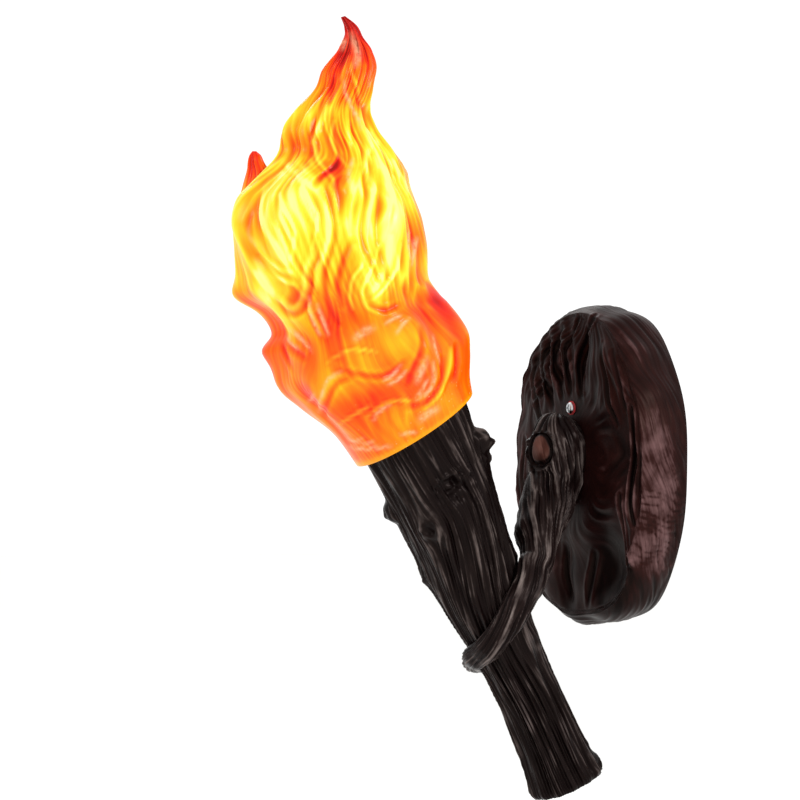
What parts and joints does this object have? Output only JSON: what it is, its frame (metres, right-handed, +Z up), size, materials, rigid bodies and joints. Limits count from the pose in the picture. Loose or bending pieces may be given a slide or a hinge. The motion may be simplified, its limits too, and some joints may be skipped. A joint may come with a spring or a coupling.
{
  "type": "torch wall sconce",
  "caption": "Torch-shaped wall sconce: a log clasped by a gnarled branch on a carved wall plate, with a lift-off flame shade over a screw-in bulb.",
  "frame": {"origin": "on the wall plane, midway between the bracket's two wall screw holes, behind the middle of the wall plate", "axes": "+Z up, +Y into the wall, so the torch stands out along -Y, and X along the wall; the log's axis stands in the plane X = 0"},
  "size_m": [0.1796, 0.3358, 0.5889],
  "materials": {
    "plate_resin": "satin reddish-brown lacquer over cast resin",
    "branch_resin": "satin dark brown lacquer over cast resin, dry-brushed lighter on the ridges",
    "log_resin": "satin near-black brown lacquer over cast resin",
    "flame_resin": "glossy translucent resin, painted from red to yellow, lit from inside",
    "zinc_steel": "bright zinc plate",
    "brass": "plain",
    "red_fibre": "matt vulcanised fibre",
    "white_nylon": "matt",
    "white_plastic": "semi-gloss",
    "porcelain": "glazed",
    "brown_sleeve": "smooth wire insulation",
    "blue_sleeve": "smooth wire insulation",
    "cap_aluminium": "satin",
    "black_glass": "glossy fused glass",
    "bulb_plastic": "semi-gloss",
    "opal_plastic": "opal diffuser"
  },
  "bodies": {
    "sconce": {"wall_plate": "plate_resin", "wall_bracket": "zinc_steel", "canopy_screws": "zinc_steel", "fibre_washers": "red_fibre", "terminal_block": "white_nylon", "terminal_screws": "brass", "block_screw": "zinc_steel", "earth_screw": "brass", "arm_tube": "brass", "arm_washer": "zinc_steel", "arm_nut": "zinc_steel", "branch_arm": "branch_resin", "cross_tube": "brass", "grip_screw": "zinc_steel", "torch_body": "log_resin", "live_lead": "brown_sleeve", "neutral_lead": "blue_sleeve", "gallery_plate": "zinc_steel", "gallery_screws": "zinc_steel", "nipple": "brass", "nipple_nut": "zinc_steel", "holder_cap": "white_plastic", "holder_body": "white_plastic", "holder_insulator": "porcelain", "screw_shell": "brass", "centre_contact": "brass"},
    "shade": {"flame_shade": "flame_resin"},
    "bulb": {"bulb_cap": "cap_aluminium", "bulb_contact": "brass", "bulb_insulator": "black_glass", "bulb_collar": "bulb_plastic", "bulb_globe": "opal_plastic"}
  },
  "joints": [
    {"name": "shade_lift", "type": "slide", "parent": "sconce", "child": "shade", "axis": [0, -0.4478, 0.8942], "range_m": [0, 0.165]},
    {"name": "bulb_unscrew", "type": "hinge", "parent": "sconce", "child": "bulb", "pos_m": [0, -0.21032, 0.07195], "axis": [0, -0.4478, 0.8942], "range_deg": [0, 1080]}
  ]
}
